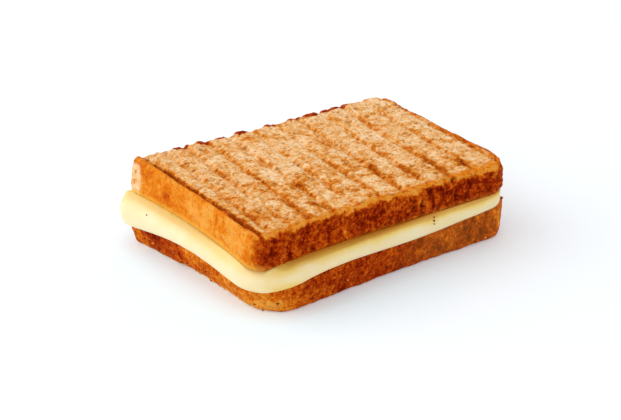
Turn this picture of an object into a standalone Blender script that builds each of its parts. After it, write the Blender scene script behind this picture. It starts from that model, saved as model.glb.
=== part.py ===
"""Grilled cheese sandwich: two pressed slices of brown tin bread with a thick layer of melted cheese.

Row frame: metres, +Z up, +X along the slices' long side. The origin is under the middle of the
sandwich's box, on the surface that it rests on. Lists of four are the values at a slice's corners,
seen from above: front left, front right, back right, back left, where the front is the -Y side.
"""

import math
from collections import namedtuple

import bmesh
import bpy
from mathutils import Vector

MM = 0.001

# A slice's outline from above, at its widest: its corners are arcs, and its sides draw in a little.
Outline = namedtuple("Outline", "length width radii waists")

# Bread slices, cut from a tin loaf. Waists are how far the front, right, back and left sides draw in.
LENGTH = 130 * MM
WIDTH = 94 * MM
BOTTOM = Outline(
    length=LENGTH,
    width=WIDTH + 2 * MM,
    radii=(19 * MM, 13 * MM, 10 * MM, 6 * MM),
    waists=(2.2 * MM, 1.0 * MM, 1.0 * MM, 1.6 * MM),
)
TOP = Outline(
    length=LENGTH + 1 * MM,
    width=WIDTH - 2.5 * MM,
    radii=(7.5 * MM, 14 * MM, 9 * MM, 4.5 * MM),
    waists=(1.4 * MM, 1.0 * MM, 2.2 * MM, 2.8 * MM),
)
GRILLED_EDGE = 1.7 * MM        # rounding between the grilled face and the crust
CUT_EDGE = 1.4 * MM            # rounding between the cut face and the crust
SIDE_FLARE = 0.9 * MM          # how far the crust draws in from its widest line to the grilled face
WIDEST_AT = 0.3                # the widest line's place, from the cut face to the grilled face
EDGE_STEPS = 3

# The bottom slice lies flat on its grilled face, at z = 0, and its cut face is uneven.
BOTTOM_CUT_Z = (14.6 * MM, 16.0 * MM, 15.2 * MM, 14.4 * MM)

# The top slice lies turned, shifted and tipped on the cheese, and its front left corner droops.
TOP_TURN = math.radians(-2.6)
TOP_SHIFT = Vector((0.2 * MM, -1.1 * MM))
TOP_CUT_Z = (20.7 * MM, 21.8 * MM, 21.5 * MM, 22.1 * MM)
TOP_GRILLED_Z = (35.6 * MM, 33.6 * MM, 35.6 * MM, 37.0 * MM)
DROOP = 1.0 * MM
DROOP_REACH = 24 * MM

# Grooves pressed by the grill's ribs, across the slice. Their pitch widens along the slice.
GROOVE_COUNT = 12
FIRST_GROOVE = -60.5 * MM      # the first groove's middle, along the slice from its own middle
FIRST_PITCH = 7.5 * MM
LAST_PITCH = 12.2 * MM
PITCH_GROWTH = 0.45            # how fast the pitch nears its last value, for each groove
GROOVE_DEPTH = 1.1 * MM
GROOVE_WIDTH = 2.8 * MM
GROOVE_LEAN = 8.0 * MM         # how far a groove drifts along X from front to back
GROOVE_ROOM = 0.4 * MM         # least distance from a groove's side to the grilled face's end
GROOVE_RISE = 2.0 * MM         # length over which a groove ends, where it stops short of the crust
TOP_GROOVE_STOP = -GROOVE_RISE # from the front and back crust to the grooves' ends: they run out
BOTTOM_GROOVE_STOP = 4.0 * MM

# Melted cheese: a plate between the slices, with a soft lip that hangs over the bottom crust.
CLEARANCE = 0.3 * MM           # left free between the cheese and each slice
LIP_START = 0.8 * MM           # from the top slice's cut face down to where the lip starts
LIP_OUT = (3.4 * MM, 0.2 * MM, 2.0 * MM, 3.6 * MM)
LIP_BOTTOM_Z = (11.2 * MM, 14.2 * MM, 12.6 * MM, 10.2 * MM)
LIP_WAVE = 0.55                # how far the lip's lower edge wanders, as a share of its overhang
LIP_WAVES = 5
LIP_CREST = 0.885              # where one crest is, as a share of the way round from the front left
LIP_STEPS = 6
LIP_BLUNTNESS = 0.65           # below 1 makes the lip's lower half blunt
PLATE_INSET = 3.0 * MM         # from the bottom slice's outline to the plate's flat faces

# Distances from a slice's sides to the grid lines of its mesh, in millimetres.
SLICE_ROWS = (0, 2, 6, 12, 24)
CHEESE_GRID = (0, 3, 6.5, 10.5, 15.5, 24)

BREAD_COLOUR = (0.56, 0.27, 0.09, 1)
CHEESE_COLOUR = (0.90, 0.78, 0.42, 1)


def clear_scene():
    for obj in list(bpy.data.objects):
        bpy.data.objects.remove(obj)


def material(name, colour, roughness):
    made = bpy.data.materials.new(name)
    made.use_nodes = True
    shader = made.node_tree.nodes["Principled BSDF"]
    shader.inputs["Base Color"].default_value = colour
    shader.inputs["Roughness"].default_value = roughness
    shader.inputs["Metallic"].default_value = 0.0
    return made


def corner_mix(values, plan):
    """Value at a plan point, mixed from the values at the sandwich's four corners."""
    u = plan.x / LENGTH + 0.5
    v = plan.y / WIDTH + 0.5
    front = values[0] * (1 - u) + values[1] * u
    back = values[3] * (1 - u) + values[2] * u
    return front * (1 - v) + back * v


def droop(plan):
    """How far the top slice hangs down at a plan point, near its front left corner."""
    away = (plan - Vector((-LENGTH / 2, -WIDTH / 2))).length
    return DROOP * math.exp(-((away / DROOP_REACH) ** 2))


def outline(shape, a, b, grow):
    """Plan point at (a, b), each -1 to 1, of the shape's outline grown outwards by grow.

    The square of (a, b) becomes the slice: its corners turn into arcs and its sides draw in."""
    half = Vector((shape.length / 2 + grow, shape.width / 2 + grow))
    point = Vector((a * half.x, b * half.y))
    radius = shape.radii[(1 if a > 0 else 0) if b < 0 else (2 if a > 0 else 3)] + grow
    centre = Vector((math.copysign(half.x - radius, a), math.copysign(half.y - radius, b)))
    if abs(point.x) > abs(centre.x) and abs(point.y) > abs(centre.y):
        reach = point - centre
        point = centre + reach * (max(abs(reach.x), abs(reach.y)) / reach.length)
    across, along = point.x / half.x, point.y / half.y
    waist_x = shape.waists[1 if a > 0 else 3] * (1 - along**2)
    waist_y = shape.waists[2 if b > 0 else 0] * (1 - across**2)
    return point - Vector((across * waist_x, along * waist_y))


def groove_lines():
    """(x, room, depth) of the two sides and the middle of each groove, from left to right: where the
    line lies half way across a slice, and how far it keeps from the grilled face's end."""
    x = FIRST_GROOVE
    lines = []
    for i in range(GROOVE_COUNT):
        outwards = math.copysign(1, x)
        for step, depth in ((-1, 0.0), (0, GROOVE_DEPTH), (1, 0.0)):
            room = GROOVE_ROOM + (1 - step * outwards) * GROOVE_WIDTH / 2
            lines.append((x + step * GROOVE_WIDTH / 2, room, depth))
        x += LAST_PITCH - (LAST_PITCH - FIRST_PITCH) * math.exp(-PITCH_GROWTH * i)
    return lines


def line_place(shape, x, room, b):
    """The place from -1 to 1 along the slice at which a groove's line crosses row b. The lines drift
    along the slice from front to back, less so near its ends."""
    waist = shape.waists[1 if x > 0 else 3] * (1 - b**2)
    end = shape.length / 2 - SIDE_FLARE - GRILLED_EDGE - waist
    drift = GROOVE_LEAN / 2 * b * (1 - (2 * x / LENGTH) ** 8)
    limit = 1 - room / end
    return max(-limit, min(limit, (x + drift) / end))


def spread(length, steps):
    """Places from -1 to 1 with the given distances from each end, and evenly between them."""
    ends = [1 - 2 * step * MM / length for step in steps]
    inner = ends[-1]
    count = math.ceil(inner * length / (steps[-1] - steps[-2]) / MM)
    middle = [inner * (2 * i / count - 1) for i in range(1, count)]
    return [-e for e in ends] + middle + ends[::-1]


def closed_body(name, across, along, levels, place, mat):
    """A closed mesh: a grid of places at the first level, rings round the levels between, and a grid
    at the last level. place(i, j, level) is the point in column i and row j of a level."""
    mesh = bmesh.new()
    last_i, last_j = len(across) - 1, len(along) - 1
    edge = [(i, 0) for i in range(last_i)] + [(last_i, j) for j in range(last_j)]
    edge += [(i, last_j) for i in range(last_i, 0, -1)] + [(0, j) for j in range(last_j, 0, -1)]
    inside = [(i, j) for i in range(1, last_i) for j in range(1, last_j)]

    rings = []
    for level in range(levels):
        at_end = level in (0, levels - 1)
        rings.append({ij: mesh.verts.new(place(*ij, level)) for ij in edge + (inside if at_end else [])})
    for grid in (rings[0], rings[-1]):
        for i in range(last_i):
            for j in range(last_j):
                mesh.faces.new([grid[ij] for ij in ((i, j), (i + 1, j), (i + 1, j + 1), (i, j + 1))])
    for upper, lower in zip(rings, rings[1:]):
        for here, after in zip(edge, edge[1:] + edge[:1]):
            mesh.faces.new((upper[here], lower[here], lower[after], upper[after]))

    bmesh.ops.recalc_face_normals(mesh, faces=mesh.faces)
    data = bpy.data.meshes.new(name)
    mesh.to_mesh(data)
    mesh.free()
    data.materials.append(mat)
    data.shade_smooth()
    data.set_sharp_from_angle(angle=math.radians(40))
    obj = bpy.data.objects.new(name, data)
    bpy.context.scene.collection.objects.link(obj)
    return obj


def slice_profile(thickness):
    """Down the crust from the grilled face to the cut face: (grow, place from cut face 0 to grilled
    face 1, share of the groove's depth)."""
    profile = []
    for i in range(EDGE_STEPS + 1):
        turn = math.pi / 2 * i / EDGE_STEPS
        drop = GRILLED_EDGE * (1 - math.cos(turn))
        grow = -SIDE_FLARE - GRILLED_EDGE * (1 - math.sin(turn))
        profile.append((grow, 1 - drop / thickness, 1 - i / EDGE_STEPS))
    profile.append((0, WIDEST_AT, 0))
    for i in range(1, EDGE_STEPS + 1):
        turn = math.pi / 2 * i / EDGE_STEPS
        rise = CUT_EDGE * (1 - math.sin(turn))
        profile.append((-CUT_EDGE * (1 - math.cos(turn)), rise / thickness, 0))
    return profile


def bread_slice(name, shape, to_world, cut_z, grilled_z, groove_stop, mat):
    """A slice with grooves in its grilled face. to_world places a point of the slice's outline in
    the plan, cut_z and grilled_z give the heights of its two faces there, and groove_stop is the
    distance from the front and back crust at which the grooves end."""
    lines = groove_lines()
    last = len(lines) + 1
    along = spread(shape.width, SLICE_ROWS)
    middle = Vector((0, 0))
    profile = slice_profile(abs(grilled_z(middle) - cut_z(middle)))
    inwards = math.copysign(1, cut_z(middle) - grilled_z(middle))

    def place(i, j, level):
        grow, share, groove_share = profile[level]
        b = along[j]
        x, room, depth = lines[i - 1] if 0 < i < last else (0.0, 0.0, 0.0)
        a = line_place(shape, x, room, b) if 0 < i < last else (-1.0 if i == 0 else 1.0)
        plan = to_world(outline(shape, a, b, grow))
        height = cut_z(plan) * (1 - share) + grilled_z(plan) * share
        past_stop = (1 - abs(b)) * shape.width / 2 - groove_stop
        depth *= groove_share * max(0.0, min(1.0, past_stop / GROOVE_RISE))
        return Vector((plan.x, plan.y, height + inwards * depth))

    return closed_body(name, range(last + 1), along, len(profile), place, mat)


def bottom_cut_z(plan):
    return corner_mix(BOTTOM_CUT_Z, plan)


def top_cut_z(plan):
    return corner_mix(TOP_CUT_Z, plan) - droop(plan)


def top_grilled_z(plan):
    return corner_mix(TOP_GRILLED_Z, plan) - droop(plan)


def bottom_slice(mat):
    def as_it_is(plan):
        return plan

    def rest_z(plan):
        return 0.0

    name = "bread_slice_bottom"
    return bread_slice(name, BOTTOM, as_it_is, bottom_cut_z, rest_z, BOTTOM_GROOVE_STOP, mat)


def top_slice(mat):
    cos, sin = math.cos(TOP_TURN), math.sin(TOP_TURN)

    def turned(plan):
        return Vector((plan.x * cos - plan.y * sin, plan.x * sin + plan.y * cos)) + TOP_SHIFT

    name = "bread_slice_top"
    return bread_slice(name, TOP, turned, top_cut_z, top_grilled_z, TOP_GROOVE_STOP, mat)


def way_round(a, b):
    """Share of the way round the slice at (a, b) on the square's edge, anticlockwise from front left."""
    if abs(b) >= abs(a):
        passed = 0 if b < 0 else LENGTH + WIDTH
        beyond = (a + 1 if b < 0 else 1 - a) / 2 * LENGTH
    else:
        passed = LENGTH if a > 0 else 2 * LENGTH + WIDTH
        beyond = (b + 1 if a > 0 else 1 - b) / 2 * WIDTH
    return (passed + beyond) / (2 * (LENGTH + WIDTH))


def lip_at(a, b):
    """Overhang of the cheese's lip, and height of its lower edge, at (a, b) on the square's edge."""
    plan = Vector((a * LENGTH / 2, b * WIDTH / 2))
    out = corner_mix(LIP_OUT, plan)
    wave = math.cos(2 * math.pi * LIP_WAVES * (way_round(a, b) - LIP_CREST))
    return out, corner_mix(LIP_BOTTOM_Z, plan) + LIP_WAVE * out * wave


def lip_section(a, b):
    """(grow, height) pairs of the cheese's lip at (a, b) on the square's edge: over its nose, back
    under it to the bottom slice's crust, and up round that slice's cut edge."""
    crust = outline(BOTTOM, a, b, 0)
    upper = top_cut_z(crust) - LIP_START
    lower = bottom_cut_z(crust)
    out, lip_z = lip_at(a, b)
    section = []
    for i in range(LIP_STEPS + 1):
        turn = math.pi * i / LIP_STEPS
        nose = max(math.sin(turn), 0) ** (1 if turn < math.pi / 2 else LIP_BLUNTNESS)
        fall = (1 - math.cos(turn)) / 2
        section.append((CLEARANCE + out * nose, upper + (lip_z - upper) * fall))
    for i in range(EDGE_STEPS + 1):
        turn = math.pi / 2 * i / EDGE_STEPS
        radius = CUT_EDGE + CLEARANCE
        section.append((radius * math.cos(turn) - CUT_EDGE, lower + radius * math.sin(turn) - CUT_EDGE))
    return section


def cheese_layer(mat):
    across = spread(LENGTH, CHEESE_GRID)
    along = spread(WIDTH, CHEESE_GRID)
    levels = len(lip_section(-1, -1)) + 2

    def place(i, j, level):
        if level in (0, levels - 1):
            plan = outline(BOTTOM, across[i], along[j], -PLATE_INSET)
            height = top_cut_z(plan) - CLEARANCE if level == 0 else bottom_cut_z(plan) + CLEARANCE
        else:
            grow, height = lip_section(across[i], along[j])[level - 1]
            plan = outline(BOTTOM, across[i], along[j], grow)
        return Vector((plan.x, plan.y, height))

    return closed_body("cheese_layer", across, along, levels, place, mat)


def stand_on_origin(objects):
    """Moves the sandwich so that the origin is under the middle of its box."""
    points = [vertex.co for obj in objects for vertex in obj.data.vertices]
    low = Vector([min(point[axis] for point in points) for axis in range(3)])
    high = Vector([max(point[axis] for point in points) for axis in range(3)])
    for obj in objects:
        obj.location = (-(low.x + high.x) / 2, -(low.y + high.y) / 2, -low.z)


def main():
    clear_scene()
    bread = material("grilled_bread", BREAD_COLOUR, 0.85)
    cheese = material("melted_cheese", CHEESE_COLOUR, 0.35)
    stand_on_origin([bottom_slice(bread), cheese_layer(cheese), top_slice(bread)])


main()
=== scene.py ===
"""Grilled cheese sandwich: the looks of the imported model.

Each solid of the frame is replaced by a fine mesh of the same form, with the relief that pressing,
toasting and melting leave. Lengths are in millimetres, and become metres when a mesh is made. Lists
of four are the values at a slice's corners, seen from above: front left, front right, back right,
back left, where the front is the -Y side.
"""

import itertools
import math
from collections import namedtuple

import bmesh
import bpy
import numpy as np
from mathutils import Euler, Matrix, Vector


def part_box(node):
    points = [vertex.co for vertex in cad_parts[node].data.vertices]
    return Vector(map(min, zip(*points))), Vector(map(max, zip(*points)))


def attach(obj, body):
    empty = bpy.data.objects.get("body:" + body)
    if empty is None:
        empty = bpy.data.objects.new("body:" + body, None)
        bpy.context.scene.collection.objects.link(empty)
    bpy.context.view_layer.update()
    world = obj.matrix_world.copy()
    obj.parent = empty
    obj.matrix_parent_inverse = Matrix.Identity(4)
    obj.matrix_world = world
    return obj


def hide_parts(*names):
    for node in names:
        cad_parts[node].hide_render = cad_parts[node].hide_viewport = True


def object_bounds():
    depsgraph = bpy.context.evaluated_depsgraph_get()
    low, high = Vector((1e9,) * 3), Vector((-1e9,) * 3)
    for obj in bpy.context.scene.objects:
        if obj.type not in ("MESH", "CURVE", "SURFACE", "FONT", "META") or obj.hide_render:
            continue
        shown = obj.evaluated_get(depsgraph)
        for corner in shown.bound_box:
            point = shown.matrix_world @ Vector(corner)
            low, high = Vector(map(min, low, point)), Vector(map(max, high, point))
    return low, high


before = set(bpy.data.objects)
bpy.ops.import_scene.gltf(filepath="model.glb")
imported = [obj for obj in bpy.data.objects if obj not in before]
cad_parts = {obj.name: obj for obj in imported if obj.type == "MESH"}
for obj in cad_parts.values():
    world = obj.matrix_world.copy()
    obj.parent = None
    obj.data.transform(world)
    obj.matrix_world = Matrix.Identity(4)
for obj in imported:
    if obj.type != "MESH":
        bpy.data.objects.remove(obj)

MM = 0.001
CAD_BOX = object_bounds()

# ---------------------------------------------------------------- sizes that the frame has too
Outline = namedtuple("Outline", "length width radii waists")
LENGTH, WIDTH = 130.0, 94.0
BOTTOM = Outline(130.0, 96.0, (19.0, 13.0, 10.0, 6.0), (2.2, 1.0, 1.0, 1.6))
TOP = Outline(131.0, 91.5, (7.5, 14.0, 9.0, 4.5), (1.4, 1.0, 2.2, 2.8))
GRILLED_EDGE, CUT_EDGE, SIDE_FLARE, WIDEST_AT = 1.7, 1.4, 0.9, 0.3
BOTTOM_CUT_Z = (14.6, 16.0, 15.2, 14.4)
TOP_TURN, TOP_SHIFT = math.radians(-2.6), (0.2, -1.1)
TOP_CUT_Z = (20.7, 21.8, 21.5, 22.1)
TOP_GRILLED_Z = (35.6, 33.6, 35.6, 37.0)
DROOP, DROOP_REACH = 1.0, 24.0
GROOVE_COUNT, FIRST_GROOVE, FIRST_PITCH, LAST_PITCH, PITCH_GROWTH = 12, -60.5, 7.5, 12.2, 0.45
GROOVE_DEPTH, GROOVE_WIDTH, GROOVE_LEAN, GROOVE_RISE = 1.1, 2.8, 8.0, 2.0
TOP_GROOVE_STOP, BOTTOM_GROOVE_STOP = -2.0, 4.0
LIP_START, LIP_OUT, LIP_BOTTOM_Z = 0.8, (3.4, 0.2, 2.0, 3.6), (11.7, 14.9, 12.6, 10.2)
LIP_WAVE, LIP_WAVES, LIP_CREST, LIP_BLUNTNESS = 0.55, 5, 0.885, 0.65
NOSE_SLOPE = 1.25                      # above 1 makes the lip's upper half slope
CLEARANCE = 0.3
BEAD_HEIGHT = 0.8                      # how far the cheese creeps up against the top slice's crust
BLEND_LEFT, BLEND_FRONT = 4.2, 3.4     # how far from that crust the cheese carries painted shade, deeper in colour
BARE_INSET, BARE_REACH = 1.3, 10.0     # the cheese stays inside the slices at the front right corner

# ---------------------------------------------------------------- how fine the meshes are
BREAD_STEP = 0.48
CHEESE_STEP = 0.8

# ---------------------------------------------------------------- relief, in millimetres
GROOVE_WANDER = 0.6      # how far a groove's middle strays sideways
GROOVE_SINK = 1.0        # a groove's usual depth, which its ends and thin places don't reach
PLATEAU_SWELL = 0.15     # how far the crumb puffs up between two grooves
CRUMB_RELIEF = 0.32
CRUST_RELIEF = 0.28
FOLD_RELIEF = 0.9        # creases between the pillows of a worn crust
PIT_DEPTH = 1.1
CAP_SWELL = 0.7          # dark lumps of crust along the back edge, between the grooves
PLEAT_DEPTH = 0.2        # creases that run down the front crust below each groove
SCORE_DEPTH = 0.5        # the thin scored line inside the top slice's left rim

# How dark each groove is seared near the front, half way and near the back, from left to right.
SEAR_FRONT = (0.0, 0.25, 0.50, 0.95, 0.90, 0.75, 0.90, 0.95, 0.85, 0.90, 0.85, 0.80)
SEAR_MIDDLE = (0.0, 0.20, 0.40, 0.70, 0.50, 0.45, 0.65, 0.50, 0.55, 0.50, 0.60, 0.70)
SEAR_BACK = (0.0, 0.25, 0.45, 0.50, 0.35, 0.50, 0.30, 0.35, 0.30, 0.30, 0.40, 0.50)
SEAR_ASIDE = 0.9         # the right wall of a groove touched the rib longest

# Dark caps of crust along the top slice's back edge: (from, to) along the slice, and how dark.
CAPS = ((-62, -59, 0.6), (-53, -48, 0.5), (-45, -37, 0.8), (-34, -28, 1.0), (-25, -19, 0.6), (-15, -9.5, 1.0),
        (0, 5.5, 1.0), (12, 18.5, 0.8), (20, 28, 0.9), (30, 45, 0.8))
# Orange smears on the top slice's grilled face: (x, y, size along x, size along y, strength).
SMEARS = ((10, -26, 4, 7, 0.30), (22, -25, 4, 6, 0.34), (4, -14, 3, 5, 0.24), (12, -17, 2.5, 4, 0.30),
          (10, 14, 3, 6, 0.22), (-14, 33, 3, 5, 0.26), (-23, 6, 2.5, 3, 0.30), (34, -25, 4, 7, 0.28),
          (46, -32, 3.5, 7, 0.30), (25, -4, 2.5, 5, 0.24), (-27, -35, 3, 7, 0.24), (-37, -36, 3, 8, 0.26),
          (-26, -16, 4, 5, 0.16), (48, -3, 2, 3, 0.24), (-59, 24, 1.5, 5, 0.45), (-11, -28, 4, 6, 0.20))

# Dark places on the top slice's front crust: (x, y, depth below the grilled face, size, strength).
SCORCHES = ((-57, -44, 9, 6, 0.14), (-6, -45, 8, 4, 0.12), (5, -45, 11, 5, 0.14), (28, -45, 5, 3, 0.22),
            (34, -45, 11, 4, 0.16), (42, -44, 5, 3, 0.22), (54, -42, 6, 4, 0.16), (50, -43, 11, 4, 0.10))

# ---------------------------------------------------------------- loose crumbs
CRUMB_COUNT, CRUMB_SIZES, CRUMB_SEED = 90, (0.22, 0.60), 7
# Crumbs with a place of their own: (x, y, z, size), in the row's frame.
PLACED_CRUMBS = ((21.3, -47.8, 20.0, 0.35), (21.0, -48.2, 18.7, 0.40), (20.9, -48.4, 17.3, 0.35),
                 (-66.0, 27.7, 18.8, 0.40), (63.6, -40.6, 26.6, 1.0), (62.9, -41.6, 25.6, 0.8),
                 (-63.9, 45.5, 12.6, 0.9), (62.4, -43.3, 15.2, 0.9), (61.6, -44.0, 15.5, 0.7))

# ---------------------------------------------------------------- view and light
LENS = 115.94
CAMERA_AT = (-470.5, -583.8, 355.9)    # from the middle of the bottom slice's outline
CAMERA_ELEVATION = 24.63
CAMERA_HEADING = 51.44                 # from +X towards +Y
WORLD_LIGHT = 0.85
KEY_LIGHT = 14.8
FLOOR_COLOUR, FLOOR_PALER, FLOOR_GLOW = (0.83, 0.87, 0.91), (0.85, 0.89, 0.93), 0.15
FLOOR_COOLER = (0.79, 0.900, 0.955)


# ================================================================ noise
def spun(points, seed):
    """The points turned a fixed way for each seed, so that no noise lines up with the axes."""
    turn = Euler((seed * 1.7 + 0.4, seed * 2.3 + 0.9, seed * 0.7 + 1.3)).to_matrix()
    return points @ np.array(turn).T + 100.0 + 17.3 * seed


def lattice(cells, seed):
    """A fixed number from 0 to 1 for each whole-number cell."""
    cells = cells.astype(np.uint64)
    mixed = cells[:, 0] * np.uint64(73856093) + cells[:, 1] * np.uint64(19349663)
    mixed = mixed + cells[:, 2] * np.uint64(83492791) + np.uint64(seed * 97 + 11) * np.uint64(2654435761)
    for shift in (15, 13, 16):
        mixed = (mixed ^ (mixed >> np.uint64(shift))) * np.uint64(2246822519) & np.uint64(0xFFFFFFFF)
    return (mixed >> np.uint64(8)).astype(float) / float(0xFFFFFF)


def smooth_noise(points, size, seed):
    """Noise from -1 to 1 in lumps of about the given size."""
    places = spun(points, seed) / size
    cell = np.floor(places)
    part = places - cell
    part = part**3 * (part * (part * 6 - 15) + 10)
    total = np.zeros(len(points))
    for corner in itertools.product((0, 1), repeat=3):
        share = np.prod(np.where(corner, part, 1 - part), axis=1)
        total += share * lattice(cell + corner, seed)
    return 2 * total - 1


def rough_noise(points, size, octaves, seed):
    """Noise in lumps of the given size, with ever smaller ones on them."""
    total = np.zeros(len(points))
    for octave in range(octaves):
        total += smooth_noise(points, size / 2**octave, seed + octave) * 0.6**octave
    return total


def pores(points, spacing, smallest, largest, share, seed):
    """Depth from 0 to 1 inside round pores. A cell of the given spacing holds one, or none."""
    places = spun(points, seed) / spacing
    home = np.floor(places)
    deepest = np.zeros(len(points))
    for step in itertools.product((-1, 0, 1), repeat=3):
        cell = home + step
        middle = cell + np.stack([lattice(cell, seed + k) for k in (1, 2, 3)], axis=1)
        radius = smallest + (largest - smallest) * lattice(cell, seed + 4) ** 2
        away = np.linalg.norm(places - middle, axis=1) * spacing / radius
        held = lattice(cell, seed + 5) < share
        deepest = np.maximum(deepest, np.where(held, 1 - away**2, 0))
    return deepest


def ramp(value, start, end):
    """0 before start, 1 after end, and smooth between them. It falls where end is below start."""
    share = np.clip((value - start) / (end - start), 0, 1)
    return share * share * (3 - 2 * share)


def spot(points, middle, sizes):
    """A soft lump of strength 1 at the middle, with the given sizes along X, Y and Z."""
    return np.exp(-np.sum(((points - np.array(middle)) / np.array(sizes)) ** 2, axis=1))


# ================================================================ forms that the frame has too
def corner_mix(values, x, y):
    """Value at a plan point, mixed from the values at the sandwich's four corners."""
    u, v = x / LENGTH + 0.5, y / WIDTH + 0.5
    front = values[0] * (1 - u) + values[1] * u
    back = values[3] * (1 - u) + values[2] * u
    return front * (1 - v) + back * v


def droop(x, y):
    return DROOP * np.exp(-(np.hypot(x + LENGTH / 2, y + WIDTH / 2) / DROOP_REACH) ** 2)


def outline(shape, a, b, grow):
    """Plan points at (a, b), each -1 to 1, of the shape's outline grown outwards by grow."""
    half_x, half_y = shape.length / 2 + grow, shape.width / 2 + grow
    x, y = a * half_x, b * half_y
    front_left, front_right, back_right, back_left = shape.radii
    front, back = np.where(a > 0, front_right, front_left), np.where(a > 0, back_right, back_left)
    radius = np.where(b < 0, front, back) + grow
    middle_x, middle_y = np.copysign(half_x - radius, a), np.copysign(half_y - radius, b)
    in_corner = (abs(x) > abs(middle_x)) & (abs(y) > abs(middle_y))
    reach_x, reach_y = x - middle_x, y - middle_y
    pull = np.maximum(abs(reach_x), abs(reach_y)) / (np.hypot(reach_x, reach_y) + 1e-12)
    x = np.where(in_corner, middle_x + reach_x * pull, x)
    y = np.where(in_corner, middle_y + reach_y * pull, y)
    across, along = x / half_x, y / half_y
    waist_x = np.where(x > 0, shape.waists[1], shape.waists[3]) * (1 - along**2)
    waist_y = np.where(y > 0, shape.waists[2], shape.waists[0]) * (1 - across**2)
    return x - across * waist_x, y - along * waist_y


def groove_middles():
    """Where each groove's middle lies along the slice, half way across it."""
    x = FIRST_GROOVE
    middles = []
    for i in range(GROOVE_COUNT):
        middles.append(x)
        x += LAST_PITCH - (LAST_PITCH - FIRST_PITCH) * math.exp(-PITCH_GROWTH * i)
    return middles


def bottom_cut_z(x, y):
    return corner_mix(BOTTOM_CUT_Z, x, y)


def top_cut_z(x, y):
    return corner_mix(TOP_CUT_Z, x, y) - droop(x, y)


def top_grilled_z(x, y):
    return corner_mix(TOP_GRILLED_Z, x, y) - droop(x, y)


# ================================================================ meshes
def square_edge(columns, rows):
    """(column, row) of each point round the edge of a grid."""
    last_i, last_j = columns - 1, rows - 1
    edge = [(i, 0) for i in range(last_i)] + [(last_i, j) for j in range(last_j)]
    edge += [(i, last_j) for i in range(last_i, 0, -1)] + [(0, j) for j in range(last_j, 0, -1)]
    return np.array(edge)


def ring_faces(starts, count):
    """Quads between rings of count points, which begin at the given vertex numbers."""
    here = np.arange(count)
    after = (here + 1) % count
    faces = [
        np.stack([upper[here], lower[here], lower[after], upper[after]], axis=1)
        for upper, lower in zip(starts, starts[1:])
    ]
    return np.concatenate(faces)


def grid_body(shape, step, profile):
    """Places and faces of a closed body: a fine grid over its first face, then rings over the edge to
    the middle of its other face. profile is an array of (grow, level) rows, where the first row is
    the grid's. Returns a, b, the profile row of each vertex, the quads and the fan's triangles."""
    columns, rows = round(shape.length / step) + 1, round(shape.width / step) + 1
    grid_a, grid_b = np.meshgrid(np.linspace(-1, 1, columns), np.linspace(-1, 1, rows), indexing="ij")
    edge = square_edge(columns, rows)
    count = len(edge)
    number = np.arange(columns * rows).reshape(columns, rows)
    edge_a, edge_b = grid_a[edge[:, 0], edge[:, 1]], grid_b[edge[:, 0], edge[:, 1]]

    a = np.concatenate([grid_a.ravel()] + [edge_a] * (len(profile) - 1) + [[0.0]])
    b = np.concatenate([grid_b.ravel()] + [edge_b] * (len(profile) - 1) + [[0.0]])
    level = np.repeat(np.arange(len(profile)), [columns * rows] + [count] * (len(profile) - 1))
    level = np.append(level, len(profile) - 1)

    corners = (number[:-1, :-1], number[1:, :-1], number[1:, 1:], number[:-1, 1:])
    top = np.stack([corner.ravel() for corner in corners], axis=1)
    rings = [number[edge[:, 0], edge[:, 1]]]
    rings += [columns * rows + count * k + np.arange(count) for k in range(len(profile) - 1)]
    quads = np.concatenate([top, ring_faces(rings, count)])
    centre = np.full(count, len(a) - 1)
    fan = np.stack([rings[-1], centre, np.roll(rings[-1], -1)], axis=1)
    return a, b, level, quads, fan


def normals(points, quads, fan):
    """Each vertex's outward direction, and whether the faces had to be turned over."""
    face = np.cross(points[quads[:, 2]] - points[quads[:, 0]], points[quads[:, 3]] - points[quads[:, 1]])
    third = np.cross(points[fan[:, 1]] - points[fan[:, 0]], points[fan[:, 2]] - points[fan[:, 0]])
    total = np.zeros_like(points)
    for axis in range(3):
        for corner in range(4):
            total[:, axis] += np.bincount(quads[:, corner], face[:, axis], len(points))
        for corner in range(3):
            total[:, axis] += np.bincount(fan[:, corner], third[:, axis], len(points))
    inwards = np.sum((points[quads[:, 0]] - points.mean(axis=0)) * face) < 0
    total *= -1 if inwards else 1
    return total / (np.linalg.norm(total, axis=1, keepdims=True) + 1e-12), inwards


def make_piece(name, points, faces, flipped, attributes, node):
    """A smooth mesh object from points in millimetres, which replaces a node of the frame."""
    data = bpy.data.meshes.new(name)
    faces = [face[::-1] for face in faces] if flipped else faces
    data.from_pydata((points * MM).tolist(), [], faces)
    data.shade_smooth()
    for key, values in attributes.items():
        layer = data.attributes.new(key, "FLOAT", "POINT")
        layer.data.foreach_set("value", np.clip(values, 0, 1).astype(np.float32))
    obj = bpy.data.objects.new(name, data)
    bpy.context.scene.collection.objects.link(obj)
    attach(obj, "root")
    if node:
        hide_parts(node)
    return obj


def frame_shift(points, node):
    """How far the points move to lie where the frame has the node."""
    low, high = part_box(node)
    middle = (np.array(low) + np.array(high)) / 2 / MM
    return middle - (points.min(axis=0) + points.max(axis=0)) / 2


# ================================================================ bread
Bread = namedtuple("Bread", "a b x y down thickness sides points normal")


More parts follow.
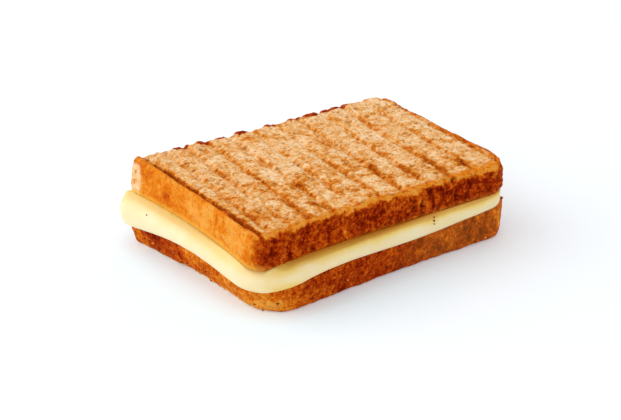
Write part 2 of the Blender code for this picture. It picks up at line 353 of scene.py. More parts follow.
def slice_profile(thickness):
    """Rows of (grow, place from cut face 0 to grilled face 1), from the grilled face's edge over the
    crust and on to the middle of the cut face."""
    turns = np.linspace(0, math.pi / 2, 7)
    rows = [
        (-SIDE_FLARE - GRILLED_EDGE * (1 - math.sin(t)), 1 - GRILLED_EDGE * (1 - math.cos(t)) / thickness)
        for t in turns
    ]
    start, end = rows[-1][1], CUT_EDGE / thickness
    steps = round((start - end) * thickness / BREAD_STEP)
    for i in range(1, steps):
        share = start + (end - start) * i / steps
        off_widest = (share - WIDEST_AT) / (start - WIDEST_AT)
        rows.append((-SIDE_FLARE * max(off_widest, 0) ** 1.6, share))
    for turn in np.linspace(0, math.pi / 2, 5):
        rows.append((-CUT_EDGE * (1 - math.cos(turn)), CUT_EDGE * (1 - math.sin(turn)) / thickness))
    rows += [(-CUT_EDGE - inset, 0.0) for inset in (1.0, 3.0, 7.0, 14.0, 26.0)]
    return np.array(rows)


def bread_surface(shape, to_world, cut_z, grilled_z, tuck, node):
    """The slice's form without relief, as a Bread and its faces. tuck is how far the left side draws
    in towards the grilled face, beyond the other sides."""
    thickness = float(abs(grilled_z(0.0, 0.0) - cut_z(0.0, 0.0)))
    profile = slice_profile(thickness)
    a, b, level, quads, fan = grid_body(shape, BREAD_STEP, profile)
    grow, share = profile[level, 0], profile[level, 1]
    grow = grow - tuck * ramp(share, 0.35, 1.0) * ramp(-a, 0.8, 1.0)
    own_x, own_y = outline(shape, a, b, grow)
    x, y = to_world(own_x, own_y)
    z = cut_z(x, y) * (1 - share) + grilled_z(x, y) * share
    points = np.stack([x, y, z], axis=1)
    points += frame_shift(points, node)
    normal, flipped = normals(points, quads, fan)
    half_x, half_y = shape.length / 2 + grow, shape.width / 2 + grow
    sides = tuple((1 + sign * p) * half - grow for sign, p, half in
                  ((1, b, half_y), (-1, a, half_x), (-1, b, half_y), (1, a, half_x)))
    bread = Bread(a, b, own_x, own_y, (1 - share) * thickness, thickness, sides, points, normal)
    return bread, quads, fan, flipped


def groove_field(bread, stop, seed):
    """(depth share, sear, pleat) of the grooves at each vertex, each from 0 to 1. A pleat is the thin
    middle line of a groove, which goes on down the crust."""
    depth, sear, pleat = (np.zeros(len(bread.a)) for _ in range(3))
    along = np.stack([bread.y, 0.8 * bread.down, np.zeros_like(bread.y)], axis=1)
    front, back = ramp(bread.b, -0.1, -0.6), ramp(bread.b, 0.05, 0.75)
    ends = np.clip((np.minimum(bread.sides[0], bread.sides[2]) - stop) / GROOVE_RISE, 0, 1)
    broken = 0.85 + 0.55 * rough_noise(bread.points, 4.5, 2, seed + 40)
    ragged = 0.35 * smooth_noise(bread.points, 1.6, seed + 45)
    for i, middle in enumerate(groove_middles()):
        line = middle + GROOVE_LEAN / 2 * bread.b * (1 - (2 * middle / LENGTH) ** 8)
        wander = GROOVE_WANDER * smooth_noise(along + 31.0 * i, 7.0, seed + i)
        aside = (bread.x - line + wander) / (GROOVE_WIDTH / 2)
        strength = 0.75 + 0.5 * smooth_noise(along + 57.0 * i, 8.0, seed + 20 + i)
        depth = np.maximum(depth, ramp(abs(aside), 1.5, 0.1) * strength * ends)
        pleat = np.maximum(pleat, ramp(abs(aside), 0.8, 0.1) * strength * ends)
        dark = SEAR_MIDDLE[i] * (1 - front) * (1 - back) + SEAR_FRONT[i] * front + SEAR_BACK[i] * back
        off = abs(aside - SEAR_ASIDE * 2 / GROOVE_WIDTH + ragged)
        sear = np.maximum(sear, (0.8 * ramp(off, 0.8, 0.1) + 0.25 * ramp(off, 1.9, 0.5)) * dark * broken)
    return np.clip(depth, 0, 1), np.clip(sear, 0, 1), np.clip(pleat, 0, 1)


def crust_share(bread, borders, seed):
    """1 on the crust and its toasted rim, 0 on the open crumb. borders are how far in the rim reaches
    from the front, right, back and left sides."""
    ragged = 0.9 * rough_noise(bread.points, 4.0, 3, seed)
    share = np.zeros(len(bread.a))
    for side, border in zip(bread.sides, borders):
        share = np.maximum(share, ramp(side + ragged, border + 0.5, border - 0.5))
    return np.maximum(share, ramp(bread.down, 0.7, 1.5))


def creases(bread, seed):
    """The pillows and creases of a wrinkled crust: 1 on a pillow's middle, 0 in a crease. Most run
    across the crust."""
    place = np.stack([bread.x, bread.y, -0.65 * bread.down], axis=1)
    bend = 1.3 * np.stack([smooth_noise(place, 3.5, seed + k) for k in range(3)], axis=1)
    wide, narrow = (abs(smooth_noise(place + bend, size, seed + 5)) for size in (5.5, 2.6))
    return np.clip(1.3 * wide + 0.8 * narrow, 0, 1)


def carve(bread, seed, groove, pleat, crust, wear):
    """Moves the surface along its normals. Returns the new points, how deep each pit is, and how high
    on its pillow each point of the crust lies. wear is how wrinkled and pitted the crust is."""
    on_face = ramp(bread.down, 7.0, 0.4)
    place, crumb = bread.points, 1 - crust
    large, small = pores(place, 4.0, 0.5, 1.5, 0.5, seed + 1), pores(place, 2.1, 0.4, 0.9, 0.8, seed + 11)
    holes = np.maximum(large, 0.9 * small)
    bend = 0.7 * np.stack([smooth_noise(place, 1.8, seed + 25 + k) for k in range(3)], axis=1)
    pitted = pores(place * (1, 1, 0.5) + bend, 2.9, 0.7, 1.6, 0.85, seed + 21) * ramp(wear, 0.3, 1.0)
    dots = pores(place, 3.4, 0.3, 0.7, 0.45, seed + 71)
    pillow = creases(bread, seed + 61)
    coarse = rough_noise(place, 8.0, 2, seed + 31)
    medium = smooth_noise(place, 3.2, seed + 41)
    fine = rough_noise(place, 1.4, 2, seed + 51)
    move = PLATEAU_SWELL * (1 - 2 * groove) * crumb * on_face - GROOVE_SINK * groove * on_face
    move += crumb * (CRUMB_RELIEF * (0.45 * coarse + 0.6 * medium + 0.7 * fine) - 0.7 * holes)
    lumps = CRUST_RELIEF * (0.7 * coarse + 0.4 * medium + 0.4 * fine)
    folds = FOLD_RELIEF * (pillow - 0.5) * ramp(bread.down, 0.6, 2.5)
    facing_front = np.clip(-bread.normal[:, 1], 0, 1)
    move += crust * (lumps + wear * folds - PIT_DEPTH * pitted - PLEAT_DEPTH * pleat * facing_front)
    move -= 0.35 * crust * (1 - wear) * dots
    move *= ramp(bread.down, bread.thickness, bread.thickness - 2.0)
    marks = np.maximum(pitted, 0.8 * (1 - wear) * dots)
    return place + bread.normal * move[:, None], holes * crumb + marks * crust, pillow


def side_tones(bread, seed, front, right, back, left, face):
    """Tone of the crust on each side and of its rim on the grilled face, mixed by which way it faces.
    The grilled face looks up on the top slice and down on the bottom one."""
    normal = bread.normal + 0.22 * np.stack([smooth_noise(bread.points, 4.0, seed + k) for k in range(3)], axis=1)
    faces = (-normal[:, 1], normal[:, 0], normal[:, 1], -normal[:, 0], abs(normal[:, 2]))
    weights = [np.clip(facing, 0, 1) ** 3 for facing in faces]
    total = sum(weights) + 1e-9
    return sum(weight * tone for weight, tone in zip(weights, (front, right, back, left, face))) / total


def top_slice(mat):
    cos, sin = math.cos(TOP_TURN), math.sin(TOP_TURN)

    def turned(x, y):
        return x * cos - y * sin + TOP_SHIFT[0], x * sin + y * cos + TOP_SHIFT[1]

    bread, quads, fan, flipped = bread_surface(TOP, turned, top_cut_z, top_grilled_z, 0.0, "bread_slice_top")
    own = np.stack([bread.x, bread.y, -bread.down], axis=1)
    front, right, back, left = bread.sides
    facing_front = np.clip(-bread.normal[:, 1], 0, 1)
    facing_left = np.clip(-bread.normal[:, 0], 0, 1)
    groove, sear, pleat = groove_field(bread, TOP_GROOVE_STOP, 100)
    patchy, mottle = rough_noise(own, 9.0, 3, 200), rough_noise(own, 3.0, 3, 210)
    fine = rough_noise(own, 1.3, 2, 230)

    front_border = 2.5 + 2.2 * ramp(bread.a, 0.0, 0.8) + 1.2 * groove
    right_border = 2.0 + 1.6 * ramp(bread.b, 0.2, -0.6)
    cap = sum(ramp(bread.x, start - 1, start + 1) * ramp(bread.x, end + 2, end - 2) * dark
              for start, end, dark in CAPS)
    crust = crust_share(bread, (front_border, right_border, 1.7 + 3.2 * cap, 0.0), 140)
    scored = bread.x + 59.9 - 0.012 * bread.y + 0.45 * mottle + 0.3 * fine
    score = ramp(abs(scored), 1.25, 0.5) * ramp(bread.down, 3.0, 1.5)
    crust = np.maximum(crust, ramp(scored, 0.0, -0.9) * (back > 3))
    right_score = ramp(abs(bread.x - 59.4 + 0.3 * mottle), 1.3, 0.4) * ramp(bread.b, 0.35, -0.2)
    torn = spot(own, (-67, 47, -7), (9, 12, 30)) + 0.07 * mottle
    torn = ramp(torn, 0.36, 0.46) * ramp(bread.down, 0.5, 2.0)
    crust = crust * (1 - torn)
    wear = (0.45 + 0.55 * ramp(bread.a, -0.6, 0.3)) * (1 - 0.9 * facing_left)
    points, pit_shade, pillow = carve(bread, 160, groove, pleat, crust, wear)
    at_back = ramp(back, 5.0, 2.0) * ramp(bread.down, 6.0, 1.0)
    points += bread.normal * (CAP_SWELL * at_back * (1.4 * cap - 0.8))[:, None]
    points -= bread.normal * (SCORE_DEPTH * score)[:, None]

    toast = 0.20 + 0.09 * patchy + 0.13 * mottle + 0.10 * fine + 0.04 * ramp(bread.b, 0.3, -0.8) + 0.52 * sear
    spots = ramp(rough_noise(own, 4.0, 3, 260), 0.2, 0.75)
    toast += spots * (0.12 + 0.14 * ramp(bread.b, 0.4, -0.4))
    for x, y, wide, long, strength in SMEARS:
        toast += strength * spot(own[:, :2], (x, y), (wide, long)) * (1 + 0.8 * mottle)
    toast += (0.05 + 0.05 * ramp(bread.b, 0.0, -0.8)) * ramp(bread.a, -0.6, -0.95)
    toast += 0.26 * right_score
    toast -= 0.12 * torn + 0.55 * np.clip(toast - 0.56, 0, 1)
    toast += 0.60 * score

    edge = ramp(bread.down + 1.0 * mottle + 0.8 * fine, 2.8, 0.9)
    low = ramp(bread.down, 8.0, 13.0)
    front_tone = 0.26 + 0.04 * ramp(bread.a, -0.8, 0.0) + 0.68 * edge + 0.04 * low
    front_tone += 0.10 * ramp(bread.a, -0.86, -0.96)
    left_tone = 0.76 + 0.12 * ramp(bread.y, 10, 2) * ramp(bread.y, -40, -34) - 0.14 * ramp(bread.y, -38, -44)
    rim_tone = np.where(right < 5, 0.66 - 0.25 * right_score, np.where(back < 5, 0.50 - 0.16 * cap, 0.84 - 0.25 * sear))
    rim_tone = np.where(scored < 2, 0.80, rim_tone)
    tone = side_tones(bread, 240, front_tone, 0.42, 0.42 + 0.1 * low, left_tone, rim_tone)
    tone += facing_left * (0.14 * patchy + 0.10 * mottle + 0.06 * fine)
    tone += (1 - facing_left) * (0.03 * patchy + 0.04 * mottle + 0.13 * fine)
    # Painted shade and highlight: darker in the crust's creases, lighter on its pillows.
    tone += (1 - facing_left) * 0.20 * (pillow - 0.45) * (0.4 + wear) * ramp(bread.down, 1.0, 2.5)
    tone -= 0.60 * score + 0.04 * pleat * facing_front
    for x, y, up, wide, strength in SCORCHES:
        tone -= 0.7 * strength * spot(own, (x, y, -up), (wide, wide, 2.5)) * (1 + 0.6 * mottle)
    grain = np.clip(1 - 0.6 * facing_left - 0.5 * edge * (1 - facing_left), 0, 1)
    cheesy = ramp(bread.down, bread.thickness - 3.2, bread.thickness - 0.9) * facing_left
    attributes = {"crust": crust, "toast": toast, "tone": tone, "pit_shade": pit_shade, "cheesy": cheesy, "grain": grain}
    return finish_bread("toasted_slice_top", points, quads, fan, flipped, attributes, "bread_slice_top", mat)


def bottom_slice(mat):
    def as_it_is(x, y):
        return x, y

    def rest_z(x, y):
        return 0.0 * x

    bread, quads, fan, flipped = bread_surface(BOTTOM, as_it_is, bottom_cut_z, rest_z, 1.4, "bread_slice_bottom")
    own = np.stack([bread.x, bread.y, -bread.down], axis=1)
    groove, sear, pleat = groove_field(bread, BOTTOM_GROOVE_STOP, 300)
    crust = crust_share(bread, (4.0, 2.6, 2.0, 2.6), 340)
    facing_front = np.clip(-bread.normal[:, 1], 0, 1)
    facing_left = np.clip(-bread.normal[:, 0], 0, 1)
    wear = 0.30 + 0.45 * facing_front * ramp(bread.a, 0.2, 0.6) + 0.20 * facing_left
    points, pit_shade, pillow = carve(bread, 360, groove, 0 * pleat, crust, wear)
    points[:, 2] = np.maximum(points[:, 2], 0.0)

    patchy, mottle = rough_noise(own, 11.0, 3, 400), rough_noise(own, 3.0, 3, 410)
    fine = rough_noise(own, 1.3, 2, 430)
    toast = 0.30 + 0.16 * patchy + 0.15 * mottle + 0.6 * sear * (1 - facing_front) + 0.34 * facing_front
    left_tone = 0.60 - 0.20 * ramp(abs(bread.y - 22), 16, 8) + 0.10 * ramp(bread.y, 10, -10)
    front_tone = 0.36 + 0.16 * ramp(bread.a, -0.55, -0.9) + 0.10 * ramp(bread.a, 0.0, 0.5)
    tone = side_tones(bread, 440, front_tone, 0.40, 0.40, left_tone, 0.40)
    # The last term is painted shade and highlight, darker in the creases and lighter on the pillows; the rest is the
    # crust's own mottle.
    tone += 0.08 * patchy + 0.07 * mottle + 0.13 * fine + 0.12 * (pillow - 0.5)
    tone += 0.26 * spot(own, (-56, -42, -3), (16, 14, 4.5)) + 0.40 * spot(own, (58, -46, -8), (4, 9, 8))
    for x, y, up, wide in ((-65, 10, 5, 2.6), (-25, -47, 3, 2.5), (24, -47, 5, 3.0), (38, -47, 9, 3.0),
                           (48, -47, 5, 2.0), (41, -47, 4, 2.0), (-65, -16, 9, 2.0), (-64, 30, 9, 6.0)):
        tone -= 0.32 * spot(own, (x, y, -up), (wide, wide, 2.5))
    greasy = facing_front * ramp(bread.a, -0.1, 0.4)
    tone -= 0.07 * greasy
    grain = 0.75 + 0 * tone
    attributes = {"crust": crust, "toast": toast, "tone": tone, "pit_shade": pit_shade, "cheesy": 0.14 * greasy, "grain": grain}
    return finish_bread("toasted_slice_bottom", points, quads, fan, flipped, attributes, "bread_slice_bottom", mat)


def finish_bread(name, points, quads, fan, flipped, attributes, node, mat):
    faces = quads.tolist() + fan.tolist()
    obj = make_piece(name, points, faces, flipped, attributes, node)
    obj.data.materials.append(mat)
    return points


def crumb_places(bottom_points):
    """(x, y, z, size) of each loose crumb: some clinging low on the bottom slice's crust."""
    chooser = np.random.default_rng(CRUMB_SEED)
    x, y, z = bottom_points.T
    outer = (abs(x) > LENGTH / 2 - 9) | (abs(y) > WIDTH / 2 - 4)
    low = np.flatnonzero(outer & (z < 6.0))
    picked = bottom_points[chooser.choice(low, CRUMB_COUNT)]
    sizes = CRUMB_SIZES[0] + (CRUMB_SIZES[1] - CRUMB_SIZES[0]) * chooser.random(CRUMB_COUNT) ** 2
    picked[:, 2] = np.maximum(picked[:, 2], sizes)
    return np.vstack([np.column_stack([picked, sizes]), PLACED_CRUMBS])


def crumbs(bottom_points, mat):
    ball = bmesh.new()
    bmesh.ops.create_icosphere(ball, subdivisions=2, radius=1.0)
    form = np.array([vertex.co[:] for vertex in ball.verts])
    sides = np.array([[vertex.index for vertex in face.verts] for face in ball.faces])
    ball.free()
    all_points, all_faces, all_tones = [], [], []
    for i, (x, y, z, size) in enumerate(crumb_places(bottom_points)):
        lumpy = form * (1 + 0.35 * rough_noise(form + 9.0 * i, 1.1, 2, 600))[:, None]
        lumpy = lumpy * (1.2, 0.95, 0.85) @ np.array(Euler((0.0, 0.0, 1.3 * i)).to_matrix()).T
        placed = lumpy * size + (x, y, z)
        placed[:, 2] = np.maximum(placed[:, 2], 0.0)
        all_points.append(placed)
        all_faces.append(sides + i * len(form))
        on_cheese = i in range(CRUMB_COUNT, CRUMB_COUNT + 4)
        all_tones.append(np.full(len(form), 0.15 if on_cheese else 0.55 + 0.4 * math.sin(2.1 * i)))
    tones = np.concatenate(all_tones)
    blank = np.zeros_like(tones)
    attributes = {"crust": blank + 0.85, "toast": 0.9 - 0.8 * tones, "tone": tones, "pit_shade": blank,
                  "cheesy": blank, "grain": blank + 0.6}
    faces = np.concatenate(all_faces).tolist()
    obj = make_piece("crumbs", np.vstack(all_points), faces, False, attributes, None)
    obj.data.materials.append(mat)


# ================================================================ cheese
def way_round(a, b):
    """Share of the way round the slice at (a, b) on the square's edge, anticlockwise from front left."""
    along_x = np.where(b < 0, (a + 1) / 2 * LENGTH, LENGTH + WIDTH + (1 - a) / 2 * LENGTH)
    along_y = np.where(a > 0, LENGTH + (b + 1) / 2 * WIDTH, 2 * LENGTH + WIDTH + (1 - b) / 2 * WIDTH)
    return np.where(abs(b) >= abs(a), along_x, along_y) / (2 * (LENGTH + WIDTH))


def cheese_layer(mat):
    inner, nose_steps, under_steps, plate = (-14.0, -6.0, -3.0, -1.8), 26, 6, 4
    first, past_nose = len(inner), len(inner) + nose_steps
    count = past_nose + 1 + under_steps + plate
    a, b, level, quads, fan = grid_body(BOTTOM, CHEESE_STEP, np.zeros((count, 2)))
    corner_x, corner_y = a * LENGTH / 2, b * WIDTH / 2
    bare = np.exp(-(np.hypot(corner_x - LENGTH / 2, corner_y + WIDTH / 2) / BARE_REACH) ** 2)
    out = corner_mix(LIP_OUT, corner_x, corner_y)
    wave = np.cos(2 * math.pi * LIP_WAVES * (way_round(a, b) - LIP_CREST))
    edge_x, edge_y = outline(BOTTOM, a, b, 0.0)
    upper, lower = top_cut_z(edge_x, edge_y) - LIP_START, bottom_cut_z(edge_x, edge_y)

    root = CLEARANCE - BARE_INSET * bare
    radius = CUT_EDGE + CLEARANCE
    start = np.arccos(np.clip((root + CUT_EDGE) / radius, -1, 1))
    lip_z = corner_mix(LIP_BOTTOM_Z, corner_x, corner_y) + LIP_WAVE * out * wave
    lip_z = lip_z * (1 - bare) + (lower - CUT_EDGE + radius * np.sin(start)) * bare
    turn = np.clip((level - first) / nose_steps, 0, 1) * math.pi
    nose = np.clip(np.sin(turn), 0, 1) ** np.where(turn < math.pi / 2, NOSE_SLOPE, LIP_BLUNTNESS)
    grow = root + out * nose
    z = upper + (lip_z - upper) * (1 - np.cos(turn)) / 2

    under = start + (math.pi / 2 - start) * np.clip((level - past_nose) / under_steps, 0, 1)
    past = level > past_nose
    grow = np.where(past, radius * np.cos(under) - CUT_EDGE, grow)
    z = np.where(past, lower + radius * np.sin(under) - CUT_EDGE, z)
    last = level - past_nose - under_steps
    grow = np.where(last > 0, -CUT_EDGE - 4.0 * last, grow)
    for k, inset in enumerate(inner):
        grow = np.where(level == k, inset, grow)
    x, y = outline(BOTTOM, a, b, grow)
    below = np.where(level < first - 1, CLEARANCE, CLEARANCE + 0.1)
    z = np.where(level < first, top_cut_z(x, y) - below, z)
    z = np.where(last > 0, bottom_cut_z(x, y) + CLEARANCE, z)
    points = np.stack([x, y, z], axis=1)
    normal, flipped = normals(points, quads, fan)
    lip = np.clip(nose, 0, 1) * (level >= first) * (~past)
    points = points + normal * (0.25 * rough_noise(points, 14.0, 2, 500) * lip)[:, None]
    out_of_top, drop = outside_top(x, y), top_cut_z(x, y) - CLEARANCE - z
    points[:, 2] += BEAD_HEIGHT * np.exp(-((out_of_top + 0.4) / 1.0) ** 2) * (level < first + 6) * (1 - bare)
    points[:, :2] += plan_origin()

    on_front = ramp(-b, 0.85, 1.0) * ramp(a, -1.0, -0.75)
    patches = rough_noise(points, 7.0, 3, 520)
    blend = BLEND_LEFT * (1 - on_front) + BLEND_FRONT * on_front
    # Painted shade: the cheese turns deeper in colour close under the top slice's crust, most on the front.
    off = np.hypot(drop, 0.6 * np.clip(out_of_top, 0, None)) - 0.4
    shade = np.clip(1 - off / (blend * (1 + 0.25 * patches)), 0, 1) * (0.45 + 0.50 * on_front)
    shade += on_front * 0.06 * ramp(a, -0.8, 0.2)
    shade = np.where(past, 0.0, shade)
    deep = spot(points[:, :2], (-54, -46), (16, 9)) * ramp(points[:, 2], 17.0, 12.0) * (1 + patches)
    attributes = {"shade": shade, "deep": 0.7 * deep + 0.1 * patches}
    obj = make_piece("melted_cheese", points, quads.tolist() + fan.tolist(), flipped, attributes, "cheese_layer")
    obj.data.materials.append(mat)


def outside_top(x, y):
    """How far outside the top slice's left and front sides a plan point lies."""
    cos, sin = math.cos(TOP_TURN), math.sin(TOP_TURN)
    off_x, off_y = x - TOP_SHIFT[0], y - TOP_SHIFT[1]
    own_x, own_y = off_x * cos + off_y * sin, off_y * cos - off_x * sin
    half_x, half_y = TOP.length / 2, TOP.width / 2
    left_side = TOP.waists[3] * (1 - (own_y / half_y) ** 2) - half_x
    front_side = TOP.waists[0] * (1 - (own_x / half_x) ** 2) - half_y
    return np.maximum(left_side - own_x, front_side - own_y)


def plan_origin():
    """Where the middle of the bottom slice's outline lies in the row frame, in millimetres."""
    turns = np.linspace(-1, 1, 401)
    edge_a = np.concatenate([turns, turns, -np.ones(401), np.ones(401)])
    edge_b = np.concatenate([-np.ones(401), np.ones(401), turns, turns])
    x, y = outline(BOTTOM, edge_a, edge_b, 0.0)
    low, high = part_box("bread_slice_bottom")
    middle = (np.array(low) + np.array(high))[:2] / 2 / MM
    return middle - np.array([(x.min() + x.max()) / 2, (y.min() + y.max()) / 2])


# ================================================================ materials
class Nodes:
    """A short way to write a material's nodes."""

    def __init__(self, name):
        self.material = bpy.data.materials.new(name)
        self.material.use_nodes = True
        self.tree = self.material.node_tree
        self.shader = self.tree.nodes["Principled BSDF"]
        self.place = self.add("ShaderNodeTexCoord").outputs["Object"]

    def add(self, kind, **settings):
        node = self.tree.nodes.new(kind)
        for key, value in settings.items():
            setattr(node, key, value)
        return node

    def plug(self, value, socket):
        if isinstance(value, bpy.types.NodeSocket):
            self.tree.links.new(value, socket)
        else:
            socket.default_value = value

    def attribute(self, name):
        return self.add("ShaderNodeAttribute", attribute_name=name).outputs["Fac"]

    def noise(self, size, detail=3.0, stretch=None):
        """Noise from 0 to 1 in lumps of about the given size, in millimetres."""
        node = self.add("ShaderNodeTexNoise")
        place = self.place
        if stretch:
            mapping = self.add("ShaderNodeMapping")
            self.plug(place, mapping.inputs["Vector"])
            mapping.inputs["Scale"].default_value = stretch
            place = mapping.outputs["Vector"]
        self.plug(place, node.inputs["Vector"])
        node.inputs["Scale"].default_value = 0.5 / (size * MM)
        node.inputs["Detail"].default_value = detail
        node.inputs["Roughness"].default_value = 0.6
        return node.outputs["Fac"]

    def math(self, operation, first, second=0.0, third=0.0):
        node = self.add("ShaderNodeMath", operation=operation)
        for value, socket in zip((first, second, third), node.inputs):
            self.plug(value, socket)
        return node.outputs[0]

    def steps(self, value, start, end, low=0.0, high=1.0):
        node = self.add("ShaderNodeMapRange", interpolation_type="SMOOTHSTEP")
        for key, given in zip(("Value", "From Min", "From Max", "To Min", "To Max"), (value, start, end, low, high)):
            self.plug(given, node.inputs[key])
        return node.outputs[0]

    def colours(self, value, stops):
        """A colour ramp through (place, colour) stops."""
        node = self.add("ShaderNodeValToRGB")
        self.plug(value, node.inputs["Fac"])
        elements = node.color_ramp.elements
        while len(elements) < len(stops):
            elements.new(0.5)
        for element, (place, colour) in zip(elements, stops):
            element.position = place
            element.color = (*colour, 1)
        return node.outputs["Color"]

    def mix(self, share, first, second):
        node = self.add("ShaderNodeMix", data_type="RGBA")
        self.plug(share, node.inputs[0])
        for value, index in ((first, 6), (second, 7)):
            self.plug(value if isinstance(value, bpy.types.NodeSocket) else (*value, 1), node.inputs[index])
        return node.outputs[2]

    def bump(self, height, distance, before=None):
        node = self.add("ShaderNodeBump")
        node.inputs["Distance"].default_value = distance * MM
        self.plug(height, node.inputs["Height"])
        if before:
            self.plug(before, node.inputs["Normal"])
        return node.outputs["Normal"]


def bread_material():
    n = Nodes("toasted_bread")
    grain, speck, streak = n.noise(1.2), n.noise(0.5, 2.0), n.noise(2.6)
    toast = n.math("ADD", n.attribute("toast"), n.steps(grain, 0.33, 0.67, -0.13, 0.13))
    toast = n.math("ADD", toast, n.steps(speck, 0.33, 0.67, -0.09, 0.09))
    toast = n.math("ADD", toast, n.steps(streak, 0.55, 0.72, 0.0, -0.10))
    coarse = n.attribute("grain")
    # This noise paints dark crack lines near its middle (painted shade) and lighter streaks where it is high (painted
    # highlight).
    crack_and_highlight_noise = n.noise(2.2, 4.0, (1, 1, 0.8))
    mottle_and_highlight = n.math("ADD", n.steps(grain, 0.33, 0.67, -0.12, 0.12), n.steps(speck, 0.33, 0.67, -0.15, 0.15))
    mottle_and_highlight = n.math("ADD", mottle_and_highlight, n.steps(crack_and_highlight_noise, 0.56, 0.64, 0.0, 0.12))
    # The crust's tone gets its own random mottle plus the painted highlight streaks.
    tone = n.math("ADD", n.attribute("tone"), n.math("MULTIPLY", mottle_and_highlight, coarse))
    crumb = n.colours(toast, (
        (0.00, (0.93, 0.64, 0.37)),
        (0.15, (0.88, 0.54, 0.26)),
        (0.30, (0.82, 0.43, 0.155)),
        (0.45, (0.75, 0.305, 0.062)),
        (0.60, (0.63, 0.182, 0.016)),
        (0.75, (0.45, 0.088, 0.004)),
        (0.92, (0.24, 0.035, 0.003)),
    ))
    crust = n.colours(tone, (
        (0.00, (0.10, 0.003, 0.0002)),
        (0.20, (0.24, 0.013, 0.0006)),
        (0.40, (0.43, 0.047, 0.0020)),
        (0.60, (0.60, 0.110, 0.0050)),
        (0.80, (0.78, 0.225, 0.0110)),
        (1.00, (0.83, 0.350, 0.0550)),
    ))
    flecks = n.steps(speck, 0.59, 0.68, 0.0, 0.70)
    crumb = n.mix(flecks, crumb, (0.37, 0.115, 0.010))
    # Painted shade: the crumb's pores and the crust's pits darken with their depth, the crust's nearly to black.
    crumb = n.mix(n.math("MULTIPLY", n.attribute("pit_shade"), 0.85), crumb, (0.34, 0.10, 0.010))
    crust = n.mix(n.math("MULTIPLY", n.attribute("pit_shade"), 0.85), crust, (0.09, 0.006, 0.001))
    # Painted shade: thin dark lines inside the cracks of the crust.
    crack_shade = n.steps(n.math("ABSOLUTE", n.math("SUBTRACT", crack_and_highlight_noise, 0.5)), 0.0, 0.022, 0.60, 0.0)
    crust = n.mix(n.math("MULTIPLY", crack_shade, coarse), crust, (0.12, 0.010, 0.001))
    colour = n.mix(n.attribute("crust"), crumb, crust)
    colour = n.mix(n.math("MULTIPLY", n.attribute("cheesy"), 0.80), colour, (0.85, 0.43, 0.055))
    n.plug(colour, n.shader.inputs["Base Color"])
    n.plug(n.steps(n.attribute("crust"), 0.0, 1.0, 0.85, 0.55), n.shader.inputs["Roughness"])
    n.shader.inputs["Specular IOR Level"].default_value = 0.01
    n.shader.inputs["Specular Tint"].default_value = (1.0, 0.62, 0.30, 1)
    normal = n.bump(grain, 0.45)
    normal = n.bump(speck, 0.28, normal)
    n.plug(normal, n.shader.inputs["Normal"])
    return n.material


def cheese_material():
    n = Nodes("melted_cheese")
    cloud, fine = n.noise(9.0, 2.0), n.noise(0.8, 2.0)
    colour = n.colours(cloud, ((0.3, (0.90, 0.73, 0.40)), (0.7, (0.93, 0.79, 0.51))))
    colour = n.mix(n.attribute("deep"), colour, (0.90, 0.62, 0.14))
    # Painted shade: deeper yellow, then brown, where the shade attribute is high under the top slice's crust.
    colour = n.mix(n.math("MULTIPLY", n.attribute("shade"), 1.5), colour, (0.86, 0.61, 0.12))
    colour = n.mix(n.steps(n.attribute("shade"), 0.5, 1.0), colour, (0.60, 0.25, 0.018))
    n.plug(colour, n.shader.inputs["Base Color"])
    n.shader.inputs["Subsurface Weight"].default_value = 0.4
    n.shader.inputs["Subsurface Radius"].default_value = (1.0, 0.7, 0.25)
    n.shader.inputs["Subsurface Scale"].default_value = 2.5 * MM
    n.shader.inputs["Specular IOR Level"].default_value = 0.35
    n.plug(n.steps(fine, 0.3, 0.7, 0.36, 0.48), n.shader.inputs["Roughness"])
    n.plug(n.bump(fine, 0.05), n.shader.inputs["Normal"])
    return n.material


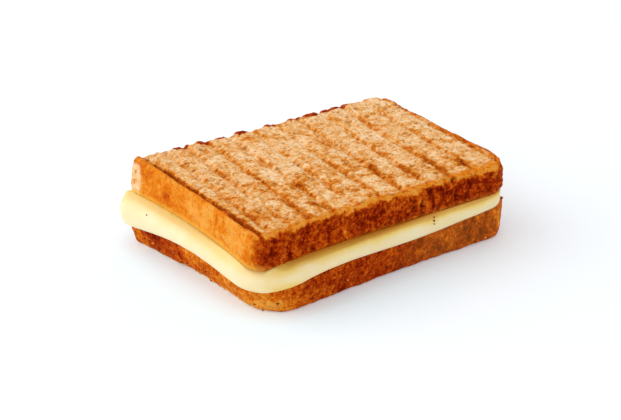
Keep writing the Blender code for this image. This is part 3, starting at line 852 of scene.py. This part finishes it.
def floor_material():
    """A pale sweep, faintly lit from below, which keeps its shadows light. Near the sandwich it is a
    little cooler, against the warm light that the bread throws on it."""
    n = Nodes("pale_floor")
    near = n.add("ShaderNodeVectorMath", operation="LENGTH")
    spread = n.add("ShaderNodeVectorMath", operation="MULTIPLY_ADD")
    n.plug(n.place, spread.inputs[0])
    spread.inputs[1].default_value = (1 / LENGTH / MM, 1 / WIDTH / MM, 0)
    spread.inputs[2].default_value = (0.20, 0.08, 0)
    n.plug(spread.outputs[0], near.inputs[0])
    far = n.colours(n.noise(40.0), ((0.0, FLOOR_COLOUR), (1.0, FLOOR_PALER)))
    n.plug(n.mix(n.steps(near.outputs["Value"], 0.5, 0.9), FLOOR_COOLER, far), n.shader.inputs["Base Color"])
    n.shader.inputs["Roughness"].default_value = 0.9
    n.shader.inputs["Specular IOR Level"].default_value = 0.0
    n.shader.inputs["Emission Color"].default_value = (0.98, 0.99, 1.0, 1)
    n.shader.inputs["Emission Strength"].default_value = FLOOR_GLOW
    return n.material


# ================================================================ scene
def floor():
    size = 6.0
    data = bpy.data.meshes.new("floor")
    corners = [(-size, -size, 0), (size, -size, 0), (size, size, 0), (-size, size, 0)]
    data.from_pydata(corners, [], [(0, 1, 2, 3)])
    data.materials.append(floor_material())
    obj = bpy.data.objects.new("floor", data)
    obj.location.z = CAD_BOX[0].z - 0.05 * MM
    bpy.context.scene.collection.objects.link(obj)


def area_light(name, place, size, power, colour=(1, 1, 1)):
    """A soft square light that points at the sandwich."""
    data = bpy.data.lights.new(name, "AREA")
    data.size = size
    data.energy = power
    data.color = colour
    obj = bpy.data.objects.new(name, data)
    obj.location = place
    obj.rotation_euler = (Vector((0, 0, 0.02)) - obj.location).to_track_quat("-Z", "Y").to_euler()
    bpy.context.scene.collection.objects.link(obj)


def lights():
    world = bpy.data.worlds.new("studio")
    world.use_nodes = True
    background = world.node_tree.nodes["Background"]
    background.inputs["Color"].default_value = (1.0, 1.0, 1.0, 1)
    background.inputs["Strength"].default_value = WORLD_LIGHT
    bpy.context.scene.world = world
    area_light("key", (-1.12, 0.89, 0.93), 1.9, KEY_LIGHT, (1.0, 0.99, 0.97))


def camera():
    data = bpy.data.cameras.new("camera")
    data.lens = LENS
    data.sensor_width = 36.0
    data.clip_start = 0.01
    obj = bpy.data.objects.new("camera", data)
    x, y = plan_origin()
    obj.location = Vector((CAMERA_AT[0] + x, CAMERA_AT[1] + y, CAMERA_AT[2])) * MM
    down, heading = math.radians(CAMERA_ELEVATION), math.radians(CAMERA_HEADING)
    ahead = Vector((math.cos(heading) * math.cos(down), math.sin(heading) * math.cos(down), -math.sin(down)))
    obj.rotation_euler = ahead.to_track_quat("-Z", "Y").to_euler()
    bpy.context.scene.collection.objects.link(obj)
    bpy.context.scene.camera = obj


bpy.context.scene.view_settings.view_transform = "Standard"
bread = bread_material()
bottom_points = bottom_slice(bread)
top_slice(bread)
cheese_layer(cheese_material())
crumbs(bottom_points, bread)
floor()
lights()
camera()
